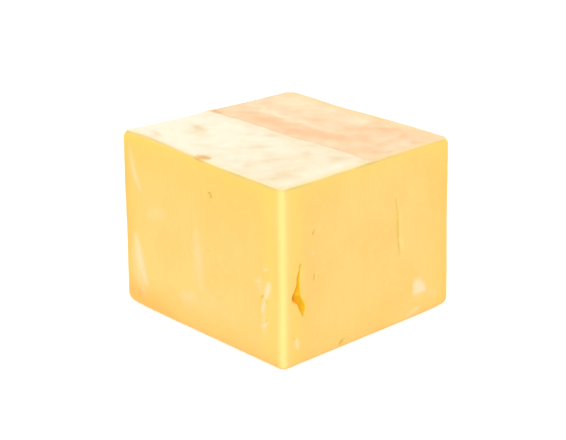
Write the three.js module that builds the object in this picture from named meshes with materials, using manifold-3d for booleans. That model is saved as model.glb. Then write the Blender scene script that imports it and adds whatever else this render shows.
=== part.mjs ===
// A short length cut from a square loaf of yellow semi-hard cheese, standing on its cut end.
// Millimetres, +Z up. The origin is the middle of the base, and the front of the block faces -Y.

import * as THREE from 'three';
import { mergeVertices, toCreasedNormals } from 'three/addons/utils/BufferGeometryUtils.js';
import Module from 'manifold-3d';

const wasm = await Module();
wasm.setup();

// Size of the block
const WIDTH = 97.5;
const DEPTH = 98.5;
const HEIGHT = 76;

// Edges: the loaf's mould rounded the upright ones, and a knife left the top ones nearly sharp.
// Two of the top's corners have since worn rounder, and the block's weight pressed two of the base's
const LOAF_EDGE_RADIUS = 3;
const KNIFE_EDGE_RADIUS = 1.1;
const WORN_FRONT_RADIUS = 2.6;
const WORN_BACK_RADIUS = 3.6;
const WEAR_BEGINS = 10;
const BASE_EDGE_RADIUS = 2;
const PRESSED_CORNER_RADIUS = 4.2;

// A soft block is never quite square: how far each corner stands off a true box, along X, Y and Z
const CORNER_LEAN = [
  { side: [-1, -1, 1], shift: [-0.3, 0.1, -0.5] },
  { side: [1, -1, 1], shift: [-0.9, 0.9, -0.3] },
  { side: [-1, 1, 1], shift: [0.5, 0.4, 1.5] },
  { side: [1, 1, 1], shift: [-0.2, -0.4, -1.3] },
  { side: [-1, -1, -1], shift: [0, -0.6, 0] },
  { side: [1, -1, -1], shift: [1, -0.3, 0] },
  { side: [-1, 1, -1], shift: [-0.1, -0.1, 0] },
];

// Two knife strokes made the top, and the second one runs a little lower from a crease to the right
const CREASE_AT_FRONT = 1.5;
const CREASE_AT_BACK = -1.3;
const STROKE_DEPTH_AT_FRONT = 0.25;
const STROKE_DEPTH_AT_BACK = 0.5;

// Faces that carry marks. A place on a face is [right of the middle, above the base], facing it,
// and on the top it is [right of the middle, behind the middle]
const FACES = {
  front: { middle: [0, -DEPTH / 2, 0], right: [1, 0, 0], up: [0, 0, 1], out: [0, -1, 0] },
  left: { middle: [-WIDTH / 2, 0, 0], right: [0, -1, 0], up: [0, 0, 1], out: [-1, 0, 0] },
  top: { middle: [0, 0, HEIGHT], right: [1, 0, 0], up: [0, 1, 0], out: [0, 0, 1] },
};

// The gouge by the front edge, drawn as two lips that meet at its tips. Its left wall is steep
const GOUGE = {
  face: 'front',
  topTip: [-39.6, 41.8],
  leftLip: [
    [-40.3, 40], [-41.1, 37.6], [-41.4, 34.8], [-42.8, 32.4],
    [-43.8, 29.6], [-41.4, 27.2], [-40.2, 25], [-38.9, 22.5],
  ],
  rightLip: [
    [-39.3, 40], [-39.5, 37.6], [-39.7, 34.8], [-39.5, 32.2],
    [-39.1, 29.6], [-37.6, 27], [-36.6, 24.6], [-36.7, 22.3],
  ],
  lowTip: [-37.8, 20.7],
  depth: 4.2,
  steepness: 2,
};

// Smaller marks, each a groove that follows a short path downwards and tapers to both its ends
const GROOVES = [
  // the slit
  { face: 'front', path: [[15.3, 57], [16.6, 47.8], [16.8, 38.8], [17.6, 31.4]], width: 0.7, depth: 2 },
  // a pit at the top end of the gouge, and others in the front
  { face: 'front', path: [[-39, 42.9], [-39.5, 41.2]], width: 1.3, depth: 0.6 },
  { face: 'front', path: [[-30.4, 55.3], [-32.6, 53.4]], width: 0.8, depth: 0.9 },
  { face: 'front', path: [[-30.8, 37.3], [-31.5, 33.6]], width: 1.8, depth: 0.5 },
  { face: 'front', path: [[-28.9, 36.4], [-29, 33.4]], width: 0.9, depth: 0.3 },
  { face: 'front', path: [[-42.6, 12.9], [-42.3, 11.4]], width: 0.6, depth: 0.4 },
  // chip in the base edge
  { face: 'front', path: [[-14.4, 3.4], [-16.2, 2.9], [-18.2, 1.4]], width: 1.7, depth: 1.3 },
  // pits in the left side
  { face: 'left', path: [[7.3, 63.4], [7.8, 60.9]], width: 2, depth: 1.1 },
  { face: 'left', path: [[5.3, 39], [5.7, 37.1]], width: 0.8, depth: 0.8 },
  { face: 'left', path: [[38.4, 29.6], [36.9, 27.8]], width: 0.8, depth: 0.4 },
  { face: 'left', path: [[40.2, 20], [38.9, 18.2]], width: 0.7, depth: 0.4 },
  // tears left by the knife, beside the left edge and at the back end of the crease
  { face: 'top', path: [[-48.4, 2], [-47, -2], [-45.4, -5.6]], width: 2, depth: 1 },
  { face: 'top', path: [[2, 52], [0.4, 46], [-0.6, 40]], width: 1.8, depth: 1 },
];

// Fineness of the surfaces
const GRID_LINES = 20;
const PULL_TO_EDGES = 2.2;
const STROKE_STEPS = 12;
const SECTION_SIDES = 12;
const GOUGE_STATIONS = 26;
const GROOVE_STATIONS = 10;
const LEAST_EDGE_ANGLE = 0.5;

// How far a cutter stands out of the face that it cuts
const CUTTER_STAND_OFF = 1;
const TIP_STAND_OFF = 0.06;

const CHEESE = new THREE.MeshStandardMaterial({ color: 0xf8cf78, roughness: 0.5, metalness: 0 });

// Moves a place near a square corner onto a quarter circle. Both numbers are gaps to the two sides
function roundCorner(gapA, gapB, radius) {
  const a = radius - gapA;
  const b = radius - gapB;
  if (a <= 0 || b <= 0) {
    return [gapA, gapB];
  }
  const pull = Math.max(a, b) / Math.hypot(a, b);
  return [radius - a * pull, radius - b * pull];
}

// The top's edges wear rounder towards the front right-hand corner and the back left-hand one,
// where the wear ends at the crease
function topEdgeRadius(x, y) {
  const { smoothstep } = THREE.MathUtils;
  const frontWear = smoothstep(x, 0, WIDTH / 2) * smoothstep(-y, DEPTH / 4, DEPTH / 2);
  const backWear = smoothstep(-x, 0, WEAR_BEGINS) * smoothstep(y, 0, DEPTH / 2);
  const frontExtra = (WORN_FRONT_RADIUS - KNIFE_EDGE_RADIUS) * frontWear;
  const backExtra = (WORN_BACK_RADIUS - KNIFE_EDGE_RADIUS) * backWear;
  return KNIFE_EDGE_RADIUS + frontExtra + backExtra;
}

// The base's edges are rounder at the back left-hand corner and the front right-hand one
function baseEdgeRadius(x, y) {
  const towardsCorner = Math.max(-x * y, 0) / (WIDTH * DEPTH / 4);
  return BASE_EDGE_RADIUS + (PRESSED_CORNER_RADIUS - BASE_EDGE_RADIUS) * towardsCorner ** 6;
}

// Rounds all the edges of a true box: first the level ones, then the upright ones
function roundEdges(point) {
  const isUpper = point.z > HEIGHT / 2;
  const radius = isUpper ? topEdgeRadius(point.x, point.y) : baseEdgeRadius(point.x, point.y);
  const levelGap = isUpper ? HEIGHT - point.z : point.z;
  const sideGap = Math.min(WIDTH / 2 - Math.abs(point.x), DEPTH / 2 - Math.abs(point.y));
  const [inset, drop] = roundCorner(sideGap, levelGap, radius);
  const halfWidth = WIDTH / 2 - inset;
  const halfDepth = DEPTH / 2 - inset;
  if (inset > sideGap) {
    point.x *= halfWidth / (WIDTH / 2 - sideGap);
    point.y *= halfDepth / (DEPTH / 2 - sideGap);
  }
  const uprightRadius = Math.max(LOAF_EDGE_RADIUS - inset, 0);
  const gaps = [halfWidth - Math.abs(point.x), halfDepth - Math.abs(point.y)];
  const [gapX, gapY] = roundCorner(...gaps, uprightRadius);
  point.x = Math.sign(point.x) * (halfWidth - gapX);
  point.y = Math.sign(point.y) * (halfDepth - gapY);
  point.z = isUpper ? HEIGHT - drop : drop;
}

// Carries a point along with the block's corners
function lean(point) {
  const at = [point.x / (WIDTH / 2), point.y / (DEPTH / 2), point.z / (HEIGHT / 2) - 1];
  for (const { side, shift } of CORNER_LEAN) {
    const share = side.reduce((product, way, axis) => product * (1 + way * at[axis]) / 2, 1);
    point.addScaledVector(new THREE.Vector3(...shift), share);
  }
}

// Moves every vertex of a geometry by a function that changes the point it is given
function moveVertices(geometry, move) {
  const position = geometry.attributes.position;
  const point = new THREE.Vector3();
  for (let i = 0; i < position.count; i++) {
    point.fromBufferAttribute(position, i);
    move(point);
    position.setXYZ(i, point.x, point.y, point.z);
  }
  return geometry;
}

function toSolid(geometry) {
  geometry.deleteAttribute('normal');
  geometry.deleteAttribute('uv');
  const merged = mergeVertices(geometry);
  const vertProperties = merged.attributes.position.array;
  const triVerts = new Uint32Array(merged.index.array);
  return new wasm.Manifold(new wasm.Mesh({ numProp: 3, vertProperties, triVerts }));
}

function toGeometry(solid) {
  const mesh = solid.getMesh();
  const geometry = new THREE.BufferGeometry();
  geometry.setAttribute('position', new THREE.BufferAttribute(mesh.vertProperties, 3));
  geometry.setIndex(new THREE.BufferAttribute(mesh.triVerts, 1));
  return geometry;
}

// The whole block: a box with lines gathered at its edges, rounded and leaning
function makeBlock() {
  const gather = (place) => Math.sign(place) * (1 - (1 - Math.abs(place)) ** PULL_TO_EDGES);
  const grid = new THREE.BoxGeometry(2, 2, 2, GRID_LINES, GRID_LINES, GRID_LINES);
  return moveVertices(grid, (point) => {
    point.x = gather(point.x) * WIDTH / 2;
    point.y = gather(point.y) * DEPTH / 2;
    point.z = (gather(point.z) + 1) * HEIGHT / 2;
    roundEdges(point);
    lean(point);
  });
}

// What the second knife stroke took off: a thin slice from the crease to beyond the right side.
// Its profile is drawn 1 mm deep, and then each place along the crease gets its own depth
function makeKnifeStroke() {
  const reach = WIDTH / 2 + CUTTER_STAND_OFF;
  const profile = new THREE.Shape();
  profile.moveTo(0, -1);
  profile.lineTo(reach, -1);
  profile.lineTo(reach, CUTTER_STAND_OFF);
  profile.lineTo(0, CUTTER_STAND_OFF);
  const length = DEPTH + 2 * CUTTER_STAND_OFF;
  const settings = { depth: length, steps: STROKE_STEPS, bevelEnabled: false };
  const slice = new THREE.ExtrudeGeometry(profile, settings);
  return moveVertices(slice, (point) => {
    const y = length / 2 - point.z;
    const frontToBack = (front, back) => THREE.MathUtils.mapLinear(y, -DEPTH / 2, DEPTH / 2, front, back);
    const creaseX = frontToBack(CREASE_AT_FRONT, CREASE_AT_BACK);
    const strokeDepth = frontToBack(STROKE_DEPTH_AT_FRONT, STROKE_DEPTH_AT_BACK);
    const rise = point.y < 0 ? point.y * strokeDepth : point.y;
    point.set(creaseX + point.x, y, HEIGHT + rise);
    lean(point);
  });
}

// A hollow between two lips on a face: a ball whose poles go to the ends of the lips.
// steepness moves the deepest line from the middle towards the left lip
function makeHollow({ face, depth, steepness = 1 }, leftLip, rightLip, stations) {
  const { middle, right, up, out } = FACES[face];
  const ball = new THREE.SphereGeometry(1, SECTION_SIDES, stations);
  return moveVertices(ball, (point) => {
    const along = Math.acos(THREE.MathUtils.clamp(point.y, -1, 1)) / Math.PI;
    const girth = Math.sin(along * Math.PI);
    const ring = Math.max(Math.hypot(point.x, point.z), Number.EPSILON);
    const across = (1 + point.x / ring) / 2;
    const rise = (point.z / ring) * (point.z > 0 ? CUTTER_STAND_OFF : depth);
    const place = leftLip.getPoint(along).lerp(rightLip.getPoint(along), across ** steepness);
    point.set(...middle);
    point.addScaledVector(new THREE.Vector3(...right), place.x);
    point.addScaledVector(new THREE.Vector3(...up), place.y);
    point.addScaledVector(new THREE.Vector3(...out), rise * girth + TIP_STAND_OFF);
    lean(point);
  });
}

const toCurve = (places) => new THREE.SplineCurve(places.map((place) => new THREE.Vector2(...place)));

function makeGouge() {
  const { topTip, leftLip, rightLip, lowTip } = GOUGE;
  const [left, right] = [leftLip, rightLip].map((lip) => toCurve([topTip, ...lip, lowTip]));
  return makeHollow(GOUGE, left, right, GOUGE_STATIONS);
}

// A lip beside a path, standing off by half the groove's width and closing on the path at both ends
class GrooveLip extends THREE.Curve {
  constructor(path, offset) {
    super();
    this.path = path;
    this.offset = offset;
  }

  getPoint(t) {
    const ahead = this.path.getTangent(t);
    const sideways = new THREE.Vector2(-ahead.y, ahead.x);
    return this.path.getPoint(t).addScaledVector(sideways, this.offset * Math.sin(t * Math.PI));
  }
}

function makeGroove(groove) {
  const path = toCurve(groove.path);
  const leftLip = new GrooveLip(path, -groove.width / 2);
  const rightLip = new GrooveLip(path, groove.width / 2);
  const stations = GROOVE_STATIONS * (groove.path.length - 1);
  return makeHollow(groove, leftLip, rightLip, stations);
}

// The cheese: the block less the second knife stroke, the gouge and the smaller marks
function makeCheese() {
  const cutters = [makeKnifeStroke(), makeGouge(), ...GROOVES.map(makeGroove)];
  const solid = cutters.reduce((rest, cutter) => rest.subtract(toSolid(cutter)), toSolid(makeBlock()));
  const geometry = toGeometry(solid);
  geometry.computeBoundingBox();
  const { min, max } = geometry.boundingBox;
  geometry.translate(-(min.x + max.x) / 2, -(min.y + max.y) / 2, -min.z);
  const cheese = new THREE.Mesh(toCreasedNormals(geometry, LEAST_EDGE_ANGLE), CHEESE);
  cheese.name = 'cheese_block';
  return cheese;
}

const piece = new THREE.Group();
piece.add(makeCheese());

export default piece;
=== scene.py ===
# %% [markdown]
# # A block of monterey jack
#
# The object is a short length cut across a square loaf of semi-hard cheese. The loaf's mould
# rounded its four upright edges. A knife left the top pale, creased and nearly sharp at its rim,
# and handling left a gouge, a slit, pits and pale scuffs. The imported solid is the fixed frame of
# this lesson: it has the true size and place, and everything made here stays inside its box.

# %% Load the frame
import math

import bmesh
import bpy
import numpy as np
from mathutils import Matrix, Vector


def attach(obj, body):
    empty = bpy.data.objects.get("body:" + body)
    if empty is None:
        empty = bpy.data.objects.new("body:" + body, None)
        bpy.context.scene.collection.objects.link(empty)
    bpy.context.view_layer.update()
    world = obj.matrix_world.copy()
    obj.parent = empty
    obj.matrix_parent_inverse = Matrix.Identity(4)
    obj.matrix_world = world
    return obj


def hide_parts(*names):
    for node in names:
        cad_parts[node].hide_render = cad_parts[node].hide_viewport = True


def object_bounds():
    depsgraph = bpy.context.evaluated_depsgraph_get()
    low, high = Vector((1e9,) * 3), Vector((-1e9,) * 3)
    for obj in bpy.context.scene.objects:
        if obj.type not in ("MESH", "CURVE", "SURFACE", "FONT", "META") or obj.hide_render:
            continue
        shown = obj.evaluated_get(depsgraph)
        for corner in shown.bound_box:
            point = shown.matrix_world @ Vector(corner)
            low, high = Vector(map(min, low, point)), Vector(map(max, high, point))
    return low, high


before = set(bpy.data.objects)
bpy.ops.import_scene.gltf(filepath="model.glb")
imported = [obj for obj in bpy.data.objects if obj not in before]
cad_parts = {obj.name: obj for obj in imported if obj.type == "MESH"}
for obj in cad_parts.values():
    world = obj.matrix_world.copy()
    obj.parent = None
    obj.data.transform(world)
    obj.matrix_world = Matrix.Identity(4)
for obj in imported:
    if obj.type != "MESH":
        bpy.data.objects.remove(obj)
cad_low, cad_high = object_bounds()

MM = 0.001
print("frame box in mm:", [round(v / MM, 2) for v in (*cad_low, *cad_high)])

# %% [markdown]
# ## Where the eye stands
#
# The picture looks at an upright edge, so that two sides show about equally, from a little above.
# A long lens keeps the sides nearly parallel. The camera could be dragged into place by hand. It is
# worked out from two angles, a distance and a point to aim at instead, so that each can be tuned.

# %% The camera
VIEW_AZIMUTH = -43.24
VIEW_ELEVATION = 20.39
VIEW_DISTANCE = 678.1
VIEW_AIM = (-1.43, 0.98, 37.67)
LENS_MM = 101.8


def direction(azimuth, elevation):
    """A unit step from the block towards a place at these angles, in degrees."""
    a, e = math.radians(azimuth), math.radians(elevation)
    return Vector((math.sin(a) * math.cos(e), -math.cos(a) * math.cos(e), math.sin(e)))


towards_eye = direction(VIEW_AZIMUTH, VIEW_ELEVATION)
camera = bpy.data.objects.new("camera", bpy.data.cameras.new("camera"))
camera.data.lens = LENS_MM
camera.data.clip_start = 10 * MM
camera.location = (Vector(VIEW_AIM) + towards_eye * VIEW_DISTANCE) * MM
camera.rotation_euler = towards_eye.to_track_quat("Z", "Y").to_euler()
bpy.context.scene.collection.objects.link(camera)
bpy.context.scene.camera = camera
print("camera at", [round(v, 4) for v in camera.location])

# %% [markdown]
# ## Places on a face
#
# Every mark on the block belongs to one face. A place there is written as someone facing that face
# would give it: millimetres right of its middle, and millimetres up. On the top, up means towards
# the back. Each face only has to say which axis it looks along, and which axes are right and up.

# %% Faces of the block
WIDTH, DEPTH, HEIGHT = 97.5, 98.5, 76.0
LOW = np.array([-WIDTH / 2, -DEPTH / 2, 0])
HIGH = np.array([WIDTH / 2, DEPTH / 2, HEIGHT])
FACES = {
    "front": {"out": (1, -1), "right": (0, 1), "up": 2},
    "left": {"out": (0, -1), "right": (1, -1), "up": 2},
    "back": {"out": (1, 1), "right": (0, -1), "up": 2},
    "right": {"out": (0, 1), "right": (1, 1), "up": 2},
    "top": {"out": (2, 1), "right": (0, 1), "up": 1},
}


def depth_below(points, face):
    """How far below a face each point is, in mm."""
    axis, side = FACES[face]["out"]
    flat = HIGH[axis] if side > 0 else LOW[axis]
    return (flat - points[:, axis]) * side


def places(points, face):
    """Two columns: how far right of the face's middle and how far up each point is."""
    axis, way = FACES[face]["right"]
    return np.stack([points[:, axis] * way, points[:, FACES[face]["up"]]], axis=1)


print("faces:", ", ".join(FACES))

# %% [markdown]
# ## What handling left
#
# The gouge is a torn hollow beside the near edge, drawn as two lips that meet at both tips. The
# slit, the pits and the tears are grooves that follow a short path. Scuffs, which are pale streaks,
# and smudges, which are darker ones, follow one too: some smudges are dirt, and those beside the pits
# and along the slit are painted shade. A path is a few stops with a smooth line through them, as a
# draughtsman would draw it with a spline. The sides that the picture hides are handled just as much,
# so each gets a few seeded pits and scuffs of the same kind.

# %% Gouge and grooves
GOUGE_TOP, GOUGE_TIP = (-39.6, 41.8), (-37.8, 20.7)
GOUGE_LEFT_LIP = [
    (-40.3, 40), (-41.1, 37.6), (-41.4, 34.8), (-42.8, 32.4), (-43.8, 29.6), (-41.4, 27.2), (-40.2, 25),
    (-38.9, 22.5),
]
GOUGE_RIGHT_LIP = [
    (-39.3, 40), (-39.5, 37.6), (-39.7, 34.8), (-39.5, 32.2), (-39.1, 29.6), (-37.6, 27), (-36.6, 24.6),
    (-36.7, 22.3),
]
GOUGE_DEPTH = 4.2

# Each groove: its face, its path, its width and its depth
GROOVES = {
    "slit": ("front", [(15.3, 57), (16.6, 47.8), (16.8, 38.8), (17.6, 31.4)], 0.7, 2),
    "gouge_end": ("front", [(-39, 42.9), (-39.5, 41.2)], 1.3, 0.6),
    "slanted_pit": ("front", [(-30.4, 55.3), (-32.6, 53.4)], 0.8, 0.9),
    "long_pit": ("front", [(-30.8, 37.3), (-31.5, 33.6)], 1.8, 0.5),
    "short_pit": ("front", [(-28.9, 36.4), (-29, 33.4)], 0.9, 0.3),
    "corner_pit": ("front", [(-42.6, 12.9), (-42.3, 11.4)], 0.6, 0.4),
    "base_chip": ("front", [(-14.4, 3.4), (-16.2, 2.9), (-18.2, 1.4)], 1.7, 1.3),
    "left_pit": ("left", [(7.3, 63.4), (7.8, 60.9)], 2, 1.1),
    "small_left_pit": ("left", [(5.3, 39), (5.7, 37.1)], 0.8, 0.8),
    "scuff_pit": ("left", [(38.4, 29.6), (36.9, 27.8)], 0.8, 0.4),
    "low_scuff_pit": ("left", [(40.2, 20), (38.9, 18.2)], 0.7, 0.4),
    "edge_tear": ("top", [(-48.4, 2), (-47, -2), (-45.4, -5.6)], 2, 1),
    "crease_tear": ("top", [(2, 52), (0.4, 46), (-0.6, 40)], 1.8, 1),
}

# %% Scuffs and smudges
# Each one: its face, its path, how wide it is and how strong, from 0 to 1
SCUFFS = [
    ("left", [(-43.6, 71), (-40.6, 59), (-36, 51)], 1.7, 0.45),
    ("left", [(-41.5, 33.5), (-38.4, 21), (-34, 10)], 2.2, 0.62),
    ("left", [(-42, 31), (-40, 17), (-36, 5)], 3.4, 0.3),
    ("left", [(-2, 47), (-0.6, 33), (1, 18)], 3, 0.3),
    ("left", [(-14, 12), (-1, 16)], 2.8, 0.25),
    ("left", [(-12, 10), (6, 16), (24, 12)], 6, 0.12),
    ("left", [(-34, 42.5), (-21, 46.5)], 2.6, 0.2),
    ("left", [(38.2, 40), (41.5, 41.3)], 0.6, 0.6),
    ("left", [(42.3, 36.6), (40.9, 32.4), (39, 27.6)], 1.5, 0.85),
    ("left", [(32.6, 33.3), (36.8, 34.9)], 0.5, 0.45),
    ("left", [(36.2, 37), (36.6, 29)], 1.5, 0.25),
    ("left", [(38.8, 28.4), (38.3, 25), (37, 21.4)], 1, 0.8),
    ("left", [(38.8, 24), (38.6, 12)], 1.4, 0.3),
    ("left", [(35.8, 15.4), (38.9, 16.6), (40.7, 18.9)], 0.55, 0.8),
    ("front", [(25, 15.5), (29, 14.6), (33.6, 12.6)], 2.7, 0.85),
    ("front", [(25, 11.6), (29, 12), (34.4, 10.8)], 1.9, 0.8),
    ("front", [(32, 13), (37, 9), (42, 6.5)], 1.8, 0.15),
    ("front", [(21, 2.4), (31, 4.6)], 1.2, 0.4),
    ("front", [(-41.6, 12.6), (-40.4, 7)], 1.2, 0.65),
    ("front", [(-32.2, 46.8), (-32.2, 45)], 0.7, 0.35),
]
# Some smudges are dirt, and those beside the pits and along the slit are painted shade
SMUDGES_AND_PAINTED_SHADE = [
    ("left", [(-51, 73), (-45, 77)], 1.2, 0.35),
    ("left", [(7.4, 61.6), (6.2, 57.4)], 1.5, 0.3),
    ("left", [(4.9, 38), (3.6, 35.8)], 0.7, 0.35),
    ("left", [(-23.6, 66.4), (-24, 64)], 0.8, 0.12),
    ("left", [(19.6, 64), (20, 61)], 0.8, 0.1),
    ("left", [(24.6, 51.6), (26.6, 47.4)], 0.8, 0.16),
    ("left", [(-20, 16), (-16, 12)], 1.8, 0.1),
    ("left", [(-39, 28), (-36.4, 17)], 0.6, 0.14),
    ("left", [(40.5, 28.4), (39.8, 25.8)], 0.9, 0.4),
    ("left", [(37, 28.4), (36.6, 24.6)], 0.8, 0.3),
    ("front", [(-37.4, 66.6), (-34, 65.6)], 0.7, 0.14),
    ("front", [(-30, 26), (-29, 17)], 0.9, 0.12),
    ("front", [(-30.4, 12.2), (-30.2, 9)], 0.6, 0.22),
    ("front", [(24.4, 18.4), (25, 13.6)], 0.8, 0.2),
    ("front", [(31.4, 18), (33.8, 14)], 1.1, 0.22),
    ("front", [(33.8, 12), (35.4, 8.8)], 0.6, 0.2),
    ("front", [(15.2, 57.4), (15.9, 51)], 0.5, 0.5),
    ("front", [(15.9, 52), (16.2, 42), (16.7, 33)], 0.8, 0.4),
    ("front", [(16.9, 37), (17.3, 30.4)], 0.9, 0.4),
    ("top", [(-29, 24), (-24, 29), (-21, 34)], 1.6, 0.16),
    ("top", [(-8.6, 6), (-5.6, 0)], 2.2, 0.12),
    ("top", [(-25, -3), (-15, -8)], 1.8, 0.14),
    ("top", [(-37, 4), (-30, -2)], 2, 0.08),
    ("top", [(-43, -21.6), (-38, -18.6)], 1.4, 0.12),
    ("top", [(-33, -20), (-23, -24)], 1.8, 0.1),
    ("top", [(-9.4, -33), (-5.6, -43)], 1.8, 0.12),
    ("top", [(-13, -28), (-8, -21)], 1.6, 0.08),
    ("top", [(24, 24.6), (31, 20.4)], 2.4, 0.12),
    ("top", [(22.6, 13), (27, 4)], 3, 0.1),
    ("top", [(28, -10.6), (34, -18), (40, -22.6)], 2.2, 0.14),
    ("top", [(31, -36.4), (39, -32.4)], 2.2, 0.25),
    ("top", [(23, -37.4), (29, -34.6)], 1.6, 0.14),
    ("top", [(12, -44.4), (18, -45.8)], 1.2, 0.25),
    ("top", [(29, -43.8), (35, -45.6)], 1.2, 0.25),
    ("top", [(46.6, -6), (45.8, -14)], 1.6, 0.2),
    ("top", [(44.6, -15), (44, -24)], 1.4, 0.12),
    ("top", [(46, 29), (46.6, 20)], 1.4, 0.2),
]
print("scuffs:", len(SCUFFS), " smudges:", len(SMUDGES_AND_PAINTED_SHADE))

# %% Marks on the sides that the picture hides
HIDDEN_FACES = ("back", "right")
SCUFFS_A_SIDE, PITS_A_SIDE = 6, 3
# The lowest and the highest that each may be: where a mark starts, how far it goes and how big it is
SCUFF_STARTS, SCUFF_DRIFTS = ((-42, 22), (42, 70)), ((-9, -22), (9, -5))
SCUFF_WIDTHS, SCUFF_STRENGTHS = (0.8, 2.6), (0.2, 0.5)
# How far a scuff has gone at its middle stop, as shares of its drift across and down
SCUFF_BOW = (0.3, 0.6)
PIT_STARTS, PIT_DRIFTS = ((-40, 12), (40, 66)), ((-1.2, -2.8), (1.2, -1.6))
PIT_SIZES = (0.6, 1.0)

draw = np.random.default_rng(7)
for face in HIDDEN_FACES:
    for number in range(SCUFFS_A_SIDE):
        start, drift = draw.uniform(*SCUFF_STARTS), draw.uniform(*SCUFF_DRIFTS)
        stops = [start, start + drift * SCUFF_BOW, start + drift]
        SCUFFS.append((face, stops, draw.uniform(*SCUFF_WIDTHS), draw.uniform(*SCUFF_STRENGTHS)))
    for number in range(PITS_A_SIDE):
        start, drift = draw.uniform(*PIT_STARTS), draw.uniform(*PIT_DRIFTS)
        size = draw.uniform(*PIT_SIZES)
        GROOVES[f"{face}_pit_{number}"] = (face, [start, start + drift], size, size)
print("with the hidden sides, grooves:", len(GROOVES), " scuffs:", len(SCUFFS))

# %% Distance from a path
def curve_through(stops, steps=160):
    """A smooth line through a few stops, as many points and how far along each is, from 0 to 1."""
    stops = np.array(stops, float)
    along = np.linspace(0, len(stops) - 1, steps)
    first = np.minimum(along.astype(int), len(stops) - 2)
    before, after = np.maximum(first - 1, 0), np.minimum(first + 2, len(stops) - 1)
    t = (along - first)[:, None]
    p0, p1, p2, p3 = stops[before], stops[first], stops[first + 1], stops[after]
    leave, arrive = (p2 - p0) / 2, (p3 - p1) / 2
    cubic = (2 * p1 - 2 * p2 + leave + arrive) * t ** 3
    square = (3 * p2 - 3 * p1 - 2 * leave - arrive) * t ** 2
    return cubic + square + leave * t + p1, along / (len(stops) - 1)


# A mark on a face also takes in points this far below it, in mm, so that it can run over a rim
OVER_RIM = 1.2
FAR = 1e3


def from_path(points, face, stops, reach=12):
    """For each point on a face: its distance from a path, and how far along the path it is."""
    line, along = curve_through(stops)
    here = places(points, face)
    distance, share = np.full(len(here), FAR), np.zeros(len(here))
    in_reach = (here > line.min(axis=0) - reach) & (here < line.max(axis=0) + reach)
    near = np.flatnonzero(in_reach.all(axis=1) & (depth_below(points, face) < OVER_RIM))
    gaps = np.linalg.norm(here[near, None] - line[None], axis=2)
    distance[near], share[near] = gaps.min(axis=1), along[gaps.argmin(axis=1)]
    return distance, share


slit_line, _ = curve_through(GROOVES["slit"][1])
print("the slit's line is mm long:", round(np.linalg.norm(np.diff(slit_line, axis=0), axis=1).sum(), 1))

# %% [markdown]
# ## A skin of squares
#
# The block is one closed skin. A cube cut evenly into tiny squares would need millions of them to
# show a slit less than a millimetre wide. So the cube is cut coarsely, its lines are drawn
# together towards the edges, and then only the squares near a mark are split, again and again,
# until they are small enough for it. Beside the split squares, faces with many corners are left, and
# a few with no area, so points that coincide are merged and such faces are cut into triangles.

# %% Coarse squares
CUTS = 63
PULL_TO_EDGES = 1.5

skin = bmesh.new()
bmesh.ops.create_cube(skin, size=2)
bmesh.ops.subdivide_edges(skin, edges=skin.edges[:], cuts=CUTS, use_grid_fill=True)
corner_share = np.array([vertex.co for vertex in skin.verts])
gathered = np.sign(corner_share) * (1 - (1 - np.abs(corner_share)).clip(0) ** PULL_TO_EDGES)
for vertex, place in zip(skin.verts, (LOW + HIGH) / 2 + gathered * (HIGH - LOW) / 2):
    vertex.co = place
print("coarse squares:", len(skin.faces))

# %% Finer squares near the marks
# Points nearer than this, in mm, count as touching
TOUCH = 1e-3
CREASE_AT_FRONT, CREASE_AT_BACK = 1.5, -1.3
crease_line = [(CREASE_AT_FRONT, -DEPTH / 2), (CREASE_AT_BACK, DEPTH / 2)]
# How long the side of a square may be, in mm: in the open, on the top and at each kind of mark
OPEN_GAP, TOP_GAP, CREASE_GAP, HOLLOW_GAP, STAIN_GAP = 3, 1.3, 0.45, 0.25, 0.7
GROOVE_MARGIN, STAIN_SPREAD = 0.5, 2
MOST_SPLITS = 5
# Each close-up: its face, its path, how far it reaches, and how long the side of a square may be there
CLOSE_UPS = [
    ("front", [GOUGE_TOP, (-41, 30), GOUGE_TIP], 4.2, HOLLOW_GAP),
    ("top", crease_line, 1.6, CREASE_GAP),
]
for face, stops, width, depth in GROOVES.values():
    CLOSE_UPS.append((face, stops, width / 2 + GROOVE_MARGIN, HOLLOW_GAP))
for face, stops, width, strength in SCUFFS + SMUDGES_AND_PAINTED_SHADE:
    CLOSE_UPS.append((face, stops, width * STAIN_SPREAD, STAIN_GAP))


def wanted_gap(points):
    """How long the side of a square may be at each point, in mm."""
    gap = np.where(depth_below(points, "top") < TOUCH, TOP_GAP, OPEN_GAP)
    for face, stops, reach, fine_gap in CLOSE_UPS:
        distance, _ = from_path(points, face, stops)
        gap = np.where(distance < reach, np.minimum(gap, fine_gap), gap)
    return gap


for split in range(MOST_SPLITS):
    gaps = wanted_gap(np.array([square.calc_center_median() for square in skin.faces]))
    pairs = zip(skin.faces, gaps)
    long_edges = [edge for square, gap in pairs for edge in square.edges if edge.calc_length() > gap]
    if not long_edges:
        break
    bmesh.ops.subdivide_edges(
        skin, edges=list(dict.fromkeys(long_edges)), cuts=1,
        use_grid_fill=True, quad_corner_type="INNER_VERT",
    )
    print("squares after splitting:", len(skin.faces))
bmesh.ops.remove_doubles(skin, verts=skin.verts[:], dist=TOUCH)
bmesh.ops.dissolve_degenerate(skin, edges=skin.edges[:], dist=TOUCH)
many_sided = [square for square in skin.faces if len(square.verts) > 4]
bmesh.ops.triangulate(skin, faces=many_sided, ngon_method="BEAUTY")
print("faces cut into triangles:", len(many_sided))
true_box = np.array([vertex.co for vertex in skin.verts])
is_on = {face: np.abs(depth_below(true_box, face)) < TOUCH for face in FACES}

# %% [markdown]
# ## Edges: moulded, cut, worn and pressed
#
# The upright edges came round out of the mould. The top's rim is a knife's, worn rounder at the
# front right-hand and the back left-hand corners. The base's rim is pressed round by the block's
# own weight, most of all at the same two corners. A bevel modifier gives all of them one width. Here
# each point near a corner slides onto a quarter circle whose radius belongs to that edge, first for
# the level rims, then for the uprights.

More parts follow.
